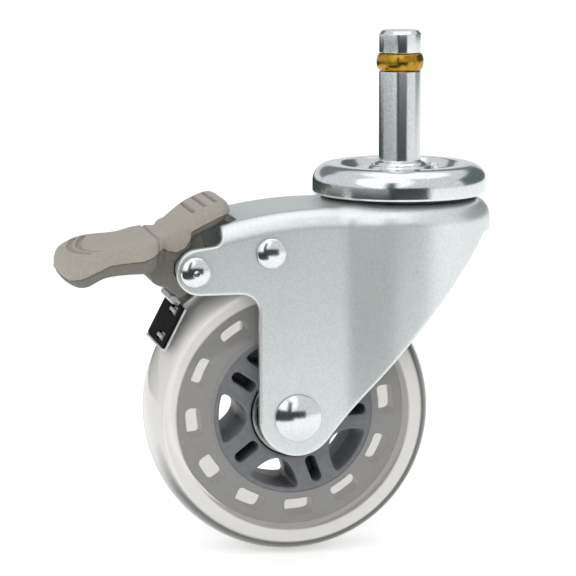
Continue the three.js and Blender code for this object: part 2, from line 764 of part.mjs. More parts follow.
// Clip with a rolled top that the pedal's cam pushes on; its foot stands on the shoe plate.
function camFollower() {
  const [x, z] = shoePoint(FOLLOWER.out, FOLLOWER.along);
  const half = FOLLOWER.halfLength;
  const roll = solid(turnedY(rodProfile(FOLLOWER.radius, -half, half), { x, z }, SMALL_SEGMENTS));
  const foot = SHOE.inner + SPRING.thickness + SHOE.plate + 0.2;
  return roll.add(shoeBar(foot, FOLLOWER.out, SHOE.high - 0.9, SHOE.high + 0.6, -half, half));
}

// ---------------------------------------------------------------- assembly
add('stem', stem(), chrome);
add('grip_ring', gripRing(), brass);
add('stem_collar', stemCollar(), chrome);
add('raceway_cap', racewayCap(), chrome);
add('dust_seal', dustSeal(), blackRubber);
add('upper_ball_ring', ballRing(UPPER_BALLS), bearingSteel);
add('lower_ball_ring', ballRing(LOWER_BALLS), bearingSteel);
add('lower_race_cup', lowerRaceCup(), zinc);
add('kingpin_washer', kingpinWasher(), zinc);
add('fork', fork(), zinc);

add('axle_bolt', axleBolt(), chrome);
add('axle_nut', axleNut(), zinc);
const legInside = FORK.halfWidth - SHEET - GAP;
add('axle_spacer_near', axleSpacer(-legInside, -BEARING.face - GAP), zinc);
add('axle_spacer_far', axleSpacer(BEARING.face + GAP, legInside), zinc);
const spacerHalf = BEARING.face - BEARING.width - GAP;
add('bearing_spacer', axleSpacer(-spacerHalf, spacerHalf), zinc);
bearing('near', -1);
bearing('far', 1);

add('wheel_core', wheelCore(), greyNylon);
add('tyre', tyre(), clearUrethane);

add('brake_pivot_rivet', rivet(PIVOT), chrome);
add('brake_anchor_rivet', rivet(ANCHOR), chrome);
add('pivot_sleeve', sleeve(PIVOT, PIVOT_SLEEVE), zinc);
add('anchor_sleeve', sleeve(ANCHOR, ANCHOR_SLEEVE), zinc);
add('pedal_pad', pedalPad(), taupePad);
add('pedal_body', pedalBody(), taupeNylon);
add('brake_spring', brakeSpring(), springSteel);
add('brake_shoe', brakeShoe(), blackPlastic);
add('cam_follower', camFollower(), springSteel);

export default caster;
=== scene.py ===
import math

import bmesh
import bpy
import numpy as np
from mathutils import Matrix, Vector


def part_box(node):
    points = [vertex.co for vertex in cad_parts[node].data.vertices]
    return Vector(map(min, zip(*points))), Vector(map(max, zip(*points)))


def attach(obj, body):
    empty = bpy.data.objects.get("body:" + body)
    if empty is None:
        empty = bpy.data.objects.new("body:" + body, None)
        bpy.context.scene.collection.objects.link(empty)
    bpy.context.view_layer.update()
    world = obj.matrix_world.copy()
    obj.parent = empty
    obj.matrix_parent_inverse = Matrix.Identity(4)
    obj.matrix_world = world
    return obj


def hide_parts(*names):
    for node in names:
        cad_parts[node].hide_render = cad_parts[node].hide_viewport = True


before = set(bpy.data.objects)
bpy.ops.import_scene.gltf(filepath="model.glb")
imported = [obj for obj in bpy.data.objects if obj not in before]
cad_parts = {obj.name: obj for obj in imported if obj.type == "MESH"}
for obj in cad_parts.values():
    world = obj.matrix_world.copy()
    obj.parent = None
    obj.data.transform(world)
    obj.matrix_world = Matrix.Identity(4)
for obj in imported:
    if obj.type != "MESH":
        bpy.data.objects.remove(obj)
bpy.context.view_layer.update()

import openvdb
from mathutils import Matrix, Vector

MM = 0.001
STEM_TOP = 36.5
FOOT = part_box("stem")[1].z / MM - STEM_TOP


def axis_of(node):
    """(x, z) of the middle of a node, in shape millimetres."""
    low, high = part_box(node)
    middle = (low + high) / 2 / MM
    return middle.x, middle.z - FOOT


def reach_of(node):
    """Half of a node's height: the radius of a round one."""
    low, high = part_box(node)
    return (high.z - low.z) / 2 / MM


AXLE = axis_of("tyre")
PIVOT = axis_of("brake_pivot_rivet")
ANCHOR = axis_of("brake_anchor_rivet")
WHEEL_RADIUS = reach_of("tyre")
TYRE_SHOULDER = 34.2


# ---------------------------------------------------------------- curves and fields
def polar(centre, radius, degrees):
    """The point at an angle round a centre."""
    turn = math.radians(degrees)
    return centre[0] + radius * math.cos(turn), centre[1] + radius * math.sin(turn)


def arc(centre, radius, start, end, steps):
    """Points of an arc between two angles in degrees, ends included."""
    return [polar(centre, radius, degrees) for degrees in np.linspace(start, end, steps + 1)]


def filleted(points, closed=True, steps=5):
    """A polyline whose corners are rounded; each point is (a, b) or (a, b, radius)."""
    out = []
    count = len(points)
    for i, point in enumerate(points):
        here = Vector(point[:2])
        radius = point[2] if len(point) > 2 else 0
        ends = not closed and i in (0, count - 1)
        if radius == 0 or ends:
            out.append(tuple(here))
            continue
        before = (Vector(points[i - 1][:2]) - here).normalized()
        after = (Vector(points[(i + 1) % count][:2]) - here).normalized()
        half = before.angle(after) / 2
        reach = radius / math.tan(half)
        start = here + before * reach
        end = here + after * reach
        centre = here + (before + after).normalized() * (radius / math.sin(half))
        for step in range(steps + 1):
            way = start.lerp(end, step / steps) - centre
            out.append(tuple(centre + way.normalized() * radius))
    return out


def flowing(points, steps=4):
    """A smooth open curve through points (Catmull-Rom)."""
    dots = [np.array(p, float) for p in points]
    last = len(dots) - 1
    out = []
    for i in range(last):
        a, b, c, d = dots[max(i - 1, 0)], dots[i], dots[i + 1], dots[min(i + 2, last)]
        for step in range(steps):
            t = step / steps
            out.append(tuple(0.5 * (2 * b + (c - a) * t + (2 * a - 5 * b + 4 * c - d) * t ** 2
                                    + (3 * b - a - 3 * c + d) * t ** 3)))
    out.append(tuple(dots[-1]))
    return out


def outline_distance(u, v, outline):
    """Signed distance in a plane to a closed outline, negative inside."""
    shape = np.broadcast(u, v).shape
    nearest = np.full(shape, 1e9, np.float32)
    inside = np.zeros(shape, bool)
    for (u0, v0), (u1, v1) in zip(outline, outline[1:] + outline[:1]):
        du, dv = u1 - u0, v1 - v0
        run = du * du + dv * dv
        if run == 0:
            continue
        t = np.clip(((u - u0) * du + (v - v0) * dv) / run, 0, 1)
        nearest = np.minimum(nearest, (u - u0 - t * du) ** 2 + (v - v0 - t * dv) ** 2)
        if dv:
            inside ^= ((v0 > v) != (v1 > v)) & (u < u0 + (v - v0) / dv * du)
    return np.where(inside, -1, 1) * np.sqrt(nearest)


def above_line(u, v, line):
    """Height of v over an open line given left to right, made roughly a distance by its slope."""
    us, vs = zip(*sorted(line))
    slope = np.gradient(np.array(vs), np.array(us))
    return (v - np.interp(u, us, vs)) / np.hypot(1, np.interp(u, us, slope))


def merged(a, b, radius):
    """Union with a soft inside corner."""
    reach = np.maximum(radius - np.abs(a - b), 0) / radius
    return np.minimum(a, b) - reach ** 2 * radius / 4


def softly_cut(a, b, radius):
    """Intersection with a soft edge."""
    return -merged(-a, -b, radius)


def rounded_cut(a, b, radius):
    """Intersection whose edge is a true round of that radius."""
    corner = np.hypot(np.maximum(a + radius, 0), np.maximum(b + radius, 0))
    return np.minimum(np.maximum(a, b), -radius) + corner


def rounded_box(u, v, half_u, half_v, radius):
    """Signed distance to a rounded rectangle about the origin."""
    a = np.abs(u) - half_u + radius
    b = np.abs(v) - half_v + radius
    return np.hypot(np.maximum(a, 0), np.maximum(b, 0)) + np.minimum(np.maximum(a, b), 0) - radius


# ---------------------------------------------------------------- meshes
def put(name, points, faces, sharp=None):
    """A new object from shape millimetres."""
    place = np.array(points, float)
    place[:, 2] += FOOT
    mesh = bpy.data.meshes.new(name)
    mesh.from_pydata((place * MM).tolist(), [], [tuple(f) for f in faces])
    edit = bmesh.new()
    edit.from_mesh(mesh)
    bmesh.ops.remove_doubles(edit, verts=edit.verts, dist=1e-7)
    bmesh.ops.recalc_face_normals(edit, faces=edit.faces)
    edit.to_mesh(mesh)
    edit.free()
    mesh.shade_smooth()
    if sharp:
        mesh.set_sharp_from_angle(angle=math.radians(sharp))
    piece = bpy.data.objects.new(name, mesh)
    bpy.context.scene.collection.objects.link(piece)
    return piece


def turned(name, profile, centre=None, segments=128, sharp=40, sweep=360):
    """A solid of revolution: [radius, z] about the stem's axis, or [radius, y] about centre."""
    whole = sweep == 360
    turns = np.radians(np.linspace(0, sweep, segments + (not whole), endpoint=not whole))
    points = []
    for turn in turns:
        for radius, along in profile:
            a, b = max(radius, 0) * math.cos(turn), max(radius, 0) * math.sin(turn)
            points.append((a, b, along) if centre is None else (centre[0] + a, along, centre[1] + b))
    row = len(profile)
    ring = len(turns)
    faces = []
    for i in range(ring if whole else ring - 1):
        for j in range(row):
            j2 = (j + 1) % row
            i2 = (i + 1) % ring
            on_axis = profile[j][0] <= 0 and profile[j2][0] <= 0
            if not on_axis:
                faces.append((i * row + j, i2 * row + j, i2 * row + j2, i * row + j2))
    if not whole:
        faces.append(tuple(range(row)))
        faces.append(tuple((ring - 1) * row + j for j in range(row)))
    faces = [tuple(dict.fromkeys(f)) for f in faces]
    return put(name, points, faces, sharp)


def moulded(name, field, low, high, step):
    """The zero surface of a distance field over a box, as a fine mesh settled on the surface."""
    axes = [np.arange(a - 2 * step, b + 3 * step, step) for a, b in zip(low, high)]
    grid = np.ix_(*axes)
    values = np.broadcast_to(field(*grid), [len(a) for a in axes]).astype(np.float32)
    volume = openvdb.FloatGrid(4 * step)
    volume.copyFromArray(np.ascontiguousarray(values))
    points, quads = volume.convertToQuads(0.0)
    points = points * step + [a[0] for a in axes]
    nudge = 0.02
    for _ in range(2):
        here = field(*points.T)
        slope = np.stack([
            field(*(points + nudge * way).T) - here for way in np.eye(3)
        ], axis=1) / nudge
        size = np.maximum((slope ** 2).sum(1), 0.25)
        points = points - np.clip(here / size, -step / 2, step / 2)[:, None] * slope
    return put(name, points, quads)


def wear(piece, body, slot, material, *nodes):
    """Gives a new piece its material and body, and hides the CAD nodes it stands for."""
    piece.data.materials.append(material)
    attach(piece, body)
    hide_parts(*nodes)


# ---------------------------------------------------------------- materials
def node_material(name):
    material = bpy.data.materials.new(name)
    material.use_nodes = True
    shader = material.node_tree.nodes["Principled BSDF"]
    return material, material.node_tree, shader


def noise(tree, per_mm, detail=3.0):
    """A noise texture with about that many spots per millimetre."""
    place = tree.nodes.new("ShaderNodeTexCoord")
    texture = tree.nodes.new("ShaderNodeTexNoise")
    texture.inputs["Scale"].default_value = per_mm / MM
    texture.inputs["Detail"].default_value = detail
    tree.links.new(place.outputs["Object"], texture.inputs["Vector"])
    return texture.outputs["Fac"]


def blend_colours(tree, factor, dark, light, low=0.35, high=0.65):
    ramp = tree.nodes.new("ShaderNodeValToRGB")
    ramp.color_ramp.elements[0].position = low
    ramp.color_ramp.elements[0].color = (*dark, 1)
    ramp.color_ramp.elements[1].position = high
    ramp.color_ramp.elements[1].color = (*light, 1)
    tree.links.new(factor, ramp.inputs["Fac"])
    return ramp.outputs["Color"]


def calculated(tree, operation, first, second):
    """A maths node over two sockets."""
    maths = tree.nodes.new("ShaderNodeMath")
    maths.operation = operation
    tree.links.new(first, maths.inputs[0])
    tree.links.new(second, maths.inputs[1])
    return maths.outputs["Value"]


def ranged(tree, value, from_low, from_high, to_low, to_high):
    """Maps a value's range to another, clamped."""
    remap = tree.nodes.new("ShaderNodeMapRange")
    bounds = {"From Min": from_low, "From Max": from_high, "To Min": to_low, "To Max": to_high}
    for name, bound in bounds.items():
        remap.inputs[name].default_value = bound
    tree.links.new(value, remap.inputs["Value"])
    return remap.outputs["Result"]


def span(tree, factor, low, high):
    """Maps the middle of a noise to a range of values."""
    return ranged(tree, factor, 0.3, 0.7, low, high)


def bumped(tree, shader, height, depth_mm):
    bump = tree.nodes.new("ShaderNodeBump")
    bump.inputs["Distance"].default_value = depth_mm * MM
    tree.links.new(height, bump.inputs["Height"])
    tree.links.new(bump.outputs["Normal"], shader.inputs["Normal"])


def metal(name, dark, light, rough, mottle=0.5, grain=6.0, depth=0.01, metallic=1.0):
    """Plated metal: slow colour drift, finer roughness drift and a very fine grain."""
    material, tree, shader = node_material(name)
    shader.inputs["Metallic"].default_value = metallic
    tree.links.new(blend_colours(tree, noise(tree, mottle), dark, light), shader.inputs["Base Color"])
    tree.links.new(span(tree, noise(tree, mottle * 4, 5), *rough), shader.inputs["Roughness"])
    bumped(tree, shader, noise(tree, grain, 4), depth)
    return material


def moulding(name, dark, light, rough, grain=4.0, depth=0.02, spots=0.8, sheen=0.0, specular=0.4):
    """Moulded plastic or rubber with a fine texture."""
    material, tree, shader = node_material(name)
    tree.links.new(blend_colours(tree, noise(tree, spots, 6), dark, light), shader.inputs["Base Color"])
    tree.links.new(span(tree, noise(tree, spots * 3, 4), *rough), shader.inputs["Roughness"])
    shader.inputs["Specular IOR Level"].default_value = specular
    shader.inputs["Sheen Weight"].default_value = sheen
    bumped(tree, shader, noise(tree, grain, 5), depth)
    return material


MILKY_FROM = 31.0  # radii between which the tyre turns from clear to milky
MILKY_FULL = 31.6


def clear_urethane():
    """Cast urethane: clear over the core's flange, milky in the thick ring, with painted shade turning the
    tread dark where it is seen edge on.
    """
    material, tree, shader = node_material("clear_urethane")
    place = tree.nodes.new("ShaderNodeTexCoord")
    flat = tree.nodes.new("ShaderNodeMapping")
    flat.inputs["Location"].default_value = (-AXLE[0] * MM, 0, -(AXLE[1] + FOOT) * MM)
    flat.inputs["Scale"].default_value = (1, 0, 1)
    length = tree.nodes.new("ShaderNodeVectorMath")
    length.operation = "LENGTH"
    tree.links.new(place.outputs["Object"], flat.inputs["Vector"])
    tree.links.new(flat.outputs["Vector"], length.inputs[0])
    radius = length.outputs["Value"]

    # Painted shade: the base colour goes dark where the tread is seen edge on, sooner towards the shoulder,
    # standing in for the dark rim that shading and refraction give the tread.
    edge = tree.nodes.new("ShaderNodeLayerWeight")
    edge.inputs["Blend"].default_value = 0.5
    shade = ranged(tree, radius, TYRE_SHOULDER * MM, WHEEL_RADIUS * MM, 0.82, 0)
    beyond_side = ranged(tree, radius, (TYRE_SHOULDER - 0.2) * MM, (TYRE_SHOULDER + 0.1) * MM, 0, 1)
    painted_shoulder_shade = calculated(tree, "MULTIPLY", shade, beyond_side)
    painted_edge_shade = calculated(tree, "ADD", edge.outputs["Facing"], painted_shoulder_shade)
    tint = blend_colours(tree, painted_edge_shade, (0.78, 0.755, 0.72), (0.12, 0.125, 0.115), 0.84, 0.94)
    tree.links.new(tint, shader.inputs["Base Color"])
    clear = ranged(tree, radius, MILKY_FROM * MM, MILKY_FULL * MM, 0.74, 0.15)
    tree.links.new(clear, shader.inputs["Transmission Weight"])
    shader.inputs["IOR"].default_value = 1.46
    tree.links.new(span(tree, noise(tree, 0.15, 3), 0.02, 0.06), shader.inputs["Roughness"])
    bumped(tree, shader, noise(tree, 0.12, 3), 0.02)
    return material


CHROME = metal("chrome", (0.68, 0.70, 0.705), (0.82, 0.835, 0.84), (0.12, 0.2), 2.5, 7, 0.008)
ZINC = metal("zinc", (0.69, 0.73, 0.72), (0.77, 0.80, 0.79), (0.28, 0.42), 1.6, 5, 0.01, 0.72)
BRASS = metal("brass", (0.33, 0.185, 0.02), (0.52, 0.31, 0.04), (0.16, 0.28), 1.0, 5, 0.006)
BEARING_STEEL = metal("bearing_steel", (0.30, 0.31, 0.30), (0.42, 0.43, 0.42), (0.25, 0.4))
SPRING_STEEL = metal("spring_steel", (0.62, 0.64, 0.63), (0.74, 0.76, 0.75), (0.34, 0.46),
                     metallic=0.75)
SEAL_RUBBER = moulding("seal_rubber", (0.012, 0.012, 0.012), (0.03, 0.03, 0.03), (0.5, 0.7))
# Painted shade: the brake shoe's near-black colour stands in for the shade and dark reflection on its face.
SHOE_SHADE_BLACK = moulding("black_plastic", (0.004, 0.004, 0.003), (0.008, 0.008, 0.006), (0.6, 0.75),
                         specular=0.06)
GREY_NYLON = moulding("grey_nylon", (0.14, 0.145, 0.155), (0.17, 0.175, 0.185), (0.36, 0.5), 3, 0.015)
TAUPE_PAD = moulding("taupe_pad", (0.325, 0.297, 0.255), (0.364, 0.332, 0.288), (0.55, 0.68), 5, 0.03,
                     1.2, 0.1)
TAUPE_NYLON = moulding("taupe_nylon", (0.155, 0.145, 0.125), (0.18, 0.17, 0.148), (0.6, 0.72), 5, 0.03, 1.2)
CLEAR_URETHANE = clear_urethane()


# ---------------------------------------------------------------- stem and swivel head
STEM_RADIUS = 5.55
BOSS_RADIUS = 7.2
KINGPIN_RADIUS = 5
KINGPIN_HEAD = 6.4
KINGPIN_FOOT = -20.2
GROOVE = (25.7, 30.7)
GROOVE_RADIUS = 4.6


def build_stem():
    profile = filleted([
        (0, KINGPIN_FOOT), (4.4, KINGPIN_FOOT, 0.5), (KINGPIN_HEAD, -19.1, 0.5), (KINGPIN_HEAD, -18.2),
        (KINGPIN_RADIUS, -18.2), (KINGPIN_RADIUS, -2.3), (BOSS_RADIUS, -2.3), (BOSS_RADIUS, 1.0, 0.5),
        (6.6, 1.6, 0.4), (STEM_RADIUS, 2.0, 0.3), (STEM_RADIUS, GROOVE[0], 0.15),
        (GROOVE_RADIUS, GROOVE[0] + 0.3), (GROOVE_RADIUS, GROOVE[1] - 0.3),
        (STEM_RADIUS, GROOVE[1], 0.15), (STEM_RADIUS, 35.6, 0.25), (4.75, STEM_TOP, 0.3), (0, STEM_TOP),
    ], closed=False)
    wear(turned("stem_turned", profile), "stem_assembly", "chrome", CHROME, "stem")


def build_grip_ring():
    """A barrel-shaped spring ring with one slit."""
    middle, half = 28.2, 2.3
    inner, outer, bulge = 4.85, 6.25, 1.0
    slit, slit_turn = 14, 67
    face = [(outer - bulge + bulge * math.cos(t), middle + half * math.sin(t))
            for t in np.radians(np.linspace(-88, 88, 17))]
    profile = [(inner, middle - half), *face, (inner, middle + half)]
    ring = turned("grip_ring_rolled", profile, segments=120, sharp=50, sweep=360 - slit)
    ring.data.transform(Matrix.Rotation(math.radians(slit_turn), 4, "Z"))
    wear(ring, "stem_assembly", "brass", BRASS, "grip_ring")


CAP_RADIUS = 23.2
CREST = 1.2
KINGPIN_BORE = 5.3


def build_cap():
    profile = filleted([
        (KINGPIN_BORE, -4.4), (12.4, -4.4, 1), (14.6, -2.1, 0.8), (16.4, -0.6, 1.0), (21.4, -0.6, 3.2),
        (21.4, -6.5), (22.9, -6.5, 0.25), (CAP_RADIUS, -6.0, 0.4), (CAP_RADIUS, CREST, 4.6),
        (15.9, CREST, 0.5), (14.6, -0.9, 0.7), (12.4, -2.6, 0.8), (KINGPIN_BORE, -2.6),
    ], steps=10)
    wear(turned("raceway_cap_pressed", profile, segments=200, sharp=60), "stem_assembly", "chrome", CHROME,
         "raceway_cap")


COLLAR_SECTION = filleted([
    (7.45, -2.3), (9.7, -2.3, 0.4), (10, -1.3, 0.4), (9.3, -0.7, 0.5), (8.2, 0.8, 0.35), (7.45, 0.8, 0.2),
])


def collar_field(x, y, z):
    """Coned washer with one rounded lug bent up at the +X side."""
    radius = np.hypot(x, y)
    cone = outline_distance(radius, z, COLLAR_SECTION)
    lug = rounded_cut(rounded_box(x - 9.2, y, 1.2, 1.6, 0.7), np.abs(z + 0.6) - 1.7, 0.6)
    return merged(cone, lug, 0.4)


def build_collar():
    step = 0.16
    collar = moulded("stem_collar_coned", collar_field, (-10, -10, -2.4), (10.4, 10, 1.1), step)
    wear(collar, "stem_assembly", "chrome", CHROME, "stem_collar")


def build_head_rings():
    seal = filleted([(20, -7.2, 0.2), (21.1, -7.2, 0.2), (21.1, -4.5, 0.2), (20, -4.5, 0.2)])
    wear(turned("dust_seal_lip", seal), "stem_assembly", "seal_rubber", SEAL_RUBBER, "dust_seal")
    cup = filleted([
        (KINGPIN_BORE, -16.5), (14.6, -16.5, 1.2), (14.6, -12.2, 0.3), (13.2, -12.2, 0.3),
        (13.2, -14.7, 0.9), (KINGPIN_BORE, -14.7),
    ])
    wear(turned("lower_race_cup_pressed", cup), "stem_assembly", "zinc", ZINC, "lower_race_cup")
    washer = filleted([
        (KINGPIN_BORE, -17.9), (8.5, -17.9, 0.25), (8.5, -16.8, 0.25), (KINGPIN_BORE, -16.8),
    ])
    wear(turned("kingpin_washer_flat", washer), "stem_assembly", "zinc", ZINC, "kingpin_washer")


# ---------------------------------------------------------------- fork
SHEET = 2.5
HEAD_RADIUS = 24.1
CROWN = -7.5
SHOULDER = 5.5
LEG_FACE = 18.3
WEB_TOP = -8.6
WEB_START = -22
WEB_CURVE = 0.0045
WEB_BEND = 5
WEB_END = -51.1
CUT_EDGE = 0.45
RELIEF_END = -46.4  # the web is cut back to here between the arms
RELIEF_HALF_LENGTH = 10
RELIEF_HALF_WIDTH = 13.9
AXLE_HOLE = 4.0
RIVET_HOLE = 3.2
KINGPIN_HOLE = 7.5


def tangent_turn(point, centre, radius):
    """Angle on a circle where a line from the point touches it on its right-hand side."""
    dx, dz = point[0] - centre[0], point[1] - centre[1]
    return math.degrees(math.atan2(dz, dx) - math.acos(radius / math.hypot(dx, dz)))


def side_outline():
    """Outline of a leg with its arm, and of the head's skirt, seen along Y."""
    beyond_head = 26
    skirt_low = -16.2
    skirt = (19.7, skirt_low - 0.2)
    lobe = 10.2
    leg_back = -41.3
    arm_low = -30.3
    corner_radius = 5
    corner = (leg_back - corner_radius, arm_low - corner_radius)
    arm_end = (-57, -24.2)
    arm_radius = 6.1
    notch_radius = 2.4
    notch = (WEB_END - notch_radius, arm_end[1] + arm_radius + 0.5 + notch_radius)
    return [
        (beyond_head, 0), (beyond_head, skirt_low), (skirt[0] + 1.5, skirt_low), skirt,
        *arc(AXLE, lobe, tangent_turn(skirt, AXLE, lobe), -172, 24),
        (leg_back, AXLE[1]),
        *arc(corner, corner_radius, 0, 90, 12),
        *arc(arm_end, arm_radius, 270, 97, 24),
        *arc(notch, notch_radius, 278, 360, 8),
        (WEB_END, 0),
    ]


SIDE = side_outline()


def fork_field(x, y, z):
    """One pressed sheet: a round cup run together with a channel, cut to the side outline."""
    head = rounded_cut(np.hypot(x, y) - HEAD_RADIUS, z - CROWN, SHOULDER)
    run = np.minimum(x - WEB_START, 0)
    roof = (z - WEB_TOP + WEB_CURVE * run ** 2) / np.hypot(1, 2 * WEB_CURVE * run)
    channel = np.maximum(rounded_cut(np.abs(y) - LEG_FACE, roof, WEB_BEND), x - 4)
    skin = merged(head, channel, 3.0)
    sheet = np.maximum(skin, -(skin + SHEET))
    body = rounded_cut(sheet, outline_distance(x, z, SIDE), CUT_EDGE)
    middle = RELIEF_END - RELIEF_HALF_LENGTH
    relief = rounded_box(x - middle, y, RELIEF_HALF_LENGTH, RELIEF_HALF_WIDTH, 3)
    body = rounded_cut(body, -np.maximum(relief, -18 - z), CUT_EDGE)
    for centre, radius in ((AXLE, AXLE_HOLE), (PIVOT, RIVET_HOLE), (ANCHOR, RIVET_HOLE)):
        body = np.maximum(body, radius - np.hypot(x - centre[0], z - centre[1]))
    return np.maximum(body, KINGPIN_HOLE - np.hypot(x, y))


def build_fork():
    step = 0.38
    fork = moulded("fork_pressed", fork_field, (-63.2, -24.2, -73.6), (24.2, 24.2, -7.4), step)
    wear(fork, "fork_assembly", "zinc", ZINC, "fork")


# ---------------------------------------------------------------- axle, rivets, bearings
HEAD_FACE = 18.6  # where bolt head, nut and rivet heads start, from the middle plane


def build_axle():
    crown, ball = -21, 9.8
    head, shank, tail = 6.15, 3.7, 26.4
    dome = [(ball * math.sin(t), crown + ball * (1 - math.cos(t)))
            for t in np.radians(np.linspace(0, 36, 13))]
    profile = filleted([
        *dome, (head, -HEAD_FACE - 0.3, 0.3), (head, -HEAD_FACE), (shank, -HEAD_FACE),
        (shank, tail - 0.5, 0.3), (shank - 0.4, tail, 0.2), (0, tail),
    ], closed=False)
    wear(turned("axle_bolt_domed", profile, AXLE, 160, 50), "fork_assembly", "chrome", CHROME, "axle_bolt")


def nut_field(x, y, z):
    """Hexagon with turned-off corners and a round locking collar."""
    half_flats, hexagon_half = 6.45, 2.5
    collar_radius, collar_half = 6.0, 3.3
    from_hexagon = np.abs(y - HEAD_FACE - hexagon_half)
    from_collar = np.abs(y - HEAD_FACE - collar_half)
    across = np.stack([
        np.abs((x - AXLE[0]) * math.sin(t) - (z - AXLE[1]) * math.cos(t)) + 0 * y
        for t in np.radians([0, 60, 120])
    ]).max(0)
    radius = np.hypot(x - AXLE[0], z - AXLE[1])
    hexagon = rounded_cut(across - half_flats, from_hexagon - hexagon_half, 0.2)
    cone = (radius + 0.6 * from_hexagon - 8.5) / 1.17
    body = softly_cut(hexagon, cone, 0.15)
    collar = rounded_cut(radius - collar_radius, from_collar - collar_half, 0.7)
    return np.maximum(merged(body, collar, 0.4), AXLE_HOLE - radius)


def build_nut():
    low = (AXLE[0] - 7.6, 18.4, AXLE[1] - 7.6)
    high = (AXLE[0] + 7.6, 25.4, AXLE[1] + 7.6)
    wear(moulded("axle_lock_nut", nut_field, low, high, 0.25), "fork_assembly", "zinc", ZINC, "axle_nut")


def build_rivet(name, centre, node, dimple):
    """A rivet with two domed heads, which may have a small punched dimple."""
    crown, head, shank = 20.3, 4.05, 2.9
    middle = [(0, crown - 0.14), (0.35, crown - 0.1)] if dimple else [(0, crown)]
    first = 9 if dimple else 4
    turns = np.radians(np.linspace(first, 86, 18))
    dome = [(head * math.sin(t), HEAD_FACE + (crown - HEAD_FACE) * math.cos(t)) for t in turns]
    half = [*middle, *dome, (head, HEAD_FACE), (shank, HEAD_FACE)]
    profile = [*[(r, -y) for r, y in half], *[(r, y) for r, y in reversed(half)]]
    wear(turned(name, profile, centre, 96, 60), "fork_assembly", "chrome", CHROME, node)


def build_turned_y(name, node, body, slot, material, inner, outer, low, high, centre):
    """A plain ring about a Y axis with rounded edges."""
    edge = 0.25
    profile = filleted([(inner, low, edge), (outer, low, edge), (outer, high, edge), (inner, high, edge)])
    wear(turned(name, profile, centre, 96, 50), body, slot, material, node)


GAP = 0.3
BEARING_BORE = 4
BEARING_FACE = 12.1
BEARING_WIDTH = 7
SPACER_RADIUS = 5.4
LEG_INSIDE = LEG_FACE - SHEET


def build_shield(label, side):
    """A bearing seal with a shallow groove between two lips."""
    inner, outer = 5.5, 9.5
    face, groove, back = (side * y for y in (11.9, 11.7, 11.4))
    profile = filleted([
        (inner, back), (outer, back), (outer, face, 0.15), (8.4, face, 0.2), (8.2, groove, 0.2),
        (6.8, groove, 0.2), (6.6, face, 0.2), (inner, face, 0.15),
    ])
    shield = turned(f"shield_{label}", profile, AXLE, 96, 50)
    wear(shield, "wheel", "seal_rubber", SEAL_RUBBER, f"bearing_shield_{label}")


def build_spacer(name, node, low, high):
    build_turned_y(name, node, "fork_assembly", "zinc", ZINC, BEARING_BORE, SPACER_RADIUS, low, high, AXLE)


def build_bearings():
    for label, side in (("near", -1), ("far", 1)):
        ends = sorted((side * BEARING_FACE, side * (BEARING_FACE - BEARING_WIDTH)))
        build_turned_y(f"inner_ring_{label}", f"bearing_inner_ring_{label}", "fork_assembly", "bearing_steel",
                       BEARING_STEEL, BEARING_BORE, 5.2, *ends, AXLE)
        build_turned_y(f"outer_ring_{label}", f"bearing_outer_ring_{label}", "wheel", "bearing_steel",
                       BEARING_STEEL, 9.8, 11, *ends, AXLE)
        build_shield(label, side)
        spacer = sorted((side * (BEARING_FACE + GAP), side * (LEG_INSIDE - GAP)))
        build_spacer(f"spacer_{label}", f"axle_spacer_{label}", *spacer)
    half = BEARING_FACE - BEARING_WIDTH - GAP
    build_spacer("spacer_middle", "bearing_spacer", -half, half)


def build_sleeves():
    half = LEG_INSIDE - GAP
    for name, centre, radius in (("pivot_sleeve", PIVOT, 4.2), ("anchor_sleeve", ANCHOR, 3.6)):
        build_turned_y(f"{name}_turned", name, "fork_assembly", "zinc", ZINC, RIVET_HOLE, radius, -half, half,
                       centre)


# ---------------------------------------------------------------- wheel
WHEEL_HALF = 12
RIM_RADIUS = 21.3
FLANGE_RADIUS = 30.5
FLANGE_HALF = 5.6
SPOKES = 5
WINDOW_TURN = 38  # where the first of each opening stands, in degrees about the axle
SLOT_TURN = 2
SLOT_WEB = 1.0
POCKETS = 12
POCKET_TURN = 5


def folded(x, z, first, count):
    """Radius and angle about the axle, the angle folded into one of `count` equal sectors."""
    dx, dz = x - AXLE[0], z - AXLE[1]
    sector = 2 * math.pi / count
    turn = np.arctan2(dz, dx) - math.radians(first)
    return np.hypot(dx, dz), (turn + sector / 2) % sector - sector / 2


def core_field(x, y, z):
    """Barrel and flange, with lens windows, blind slots and flange pockets."""
    depth = np.abs(y)
    radius, turn = folded(x, z, WINDOW_TURN, SPOKES)
    hub = 11.3
    barrel_middle = (RIM_RADIUS + hub) / 2
    barrel = rounded_cut(np.abs(radius - barrel_middle) - (RIM_RADIUS - hub) / 2, depth - WHEEL_HALF, 0.5)
    flange = rounded_cut(radius - FLANGE_RADIUS, depth - FLANGE_HALF, 0.5)
    body = merged(barrel, flange, 1.2)
    draft = 0.05 * (WHEEL_HALF - depth)
    u, v = radius * np.cos(turn), radius * np.sin(turn)
    half, outer, inner = 6.85, 19.9, 12.5
    chord = math.sqrt(outer ** 2 - half ** 2)
    inside = chord - (chord - inner) * (1 - (v / half) ** 2)
    lens = softly_cut(radius - outer, (inside - u) / np.hypot(1, 2 * v * (chord - inner) / half ** 2), 1.4)
    body = rounded_cut(body, -(lens + draft), 0.4)
    radius, turn = folded(x, z, SLOT_TURN, SPOKES)
    slot = rounded_box(radius - 15.85, radius * turn, 3.55, 1.45, 1.3) + draft
    body = rounded_cut(body, -np.maximum(slot, SLOT_WEB - depth), 0.35)
    radius, turn = folded(x, z, POCKET_TURN, POCKETS)
    pocket = rounded_box(radius - 26, radius * turn, 2, 3.75, 1.2)
    body = rounded_cut(body, -pocket, 0.35)
    bore = np.where(depth > BEARING_FACE - BEARING_WIDTH - GAP, hub, 9.6)
    return np.maximum(body, bore - radius)


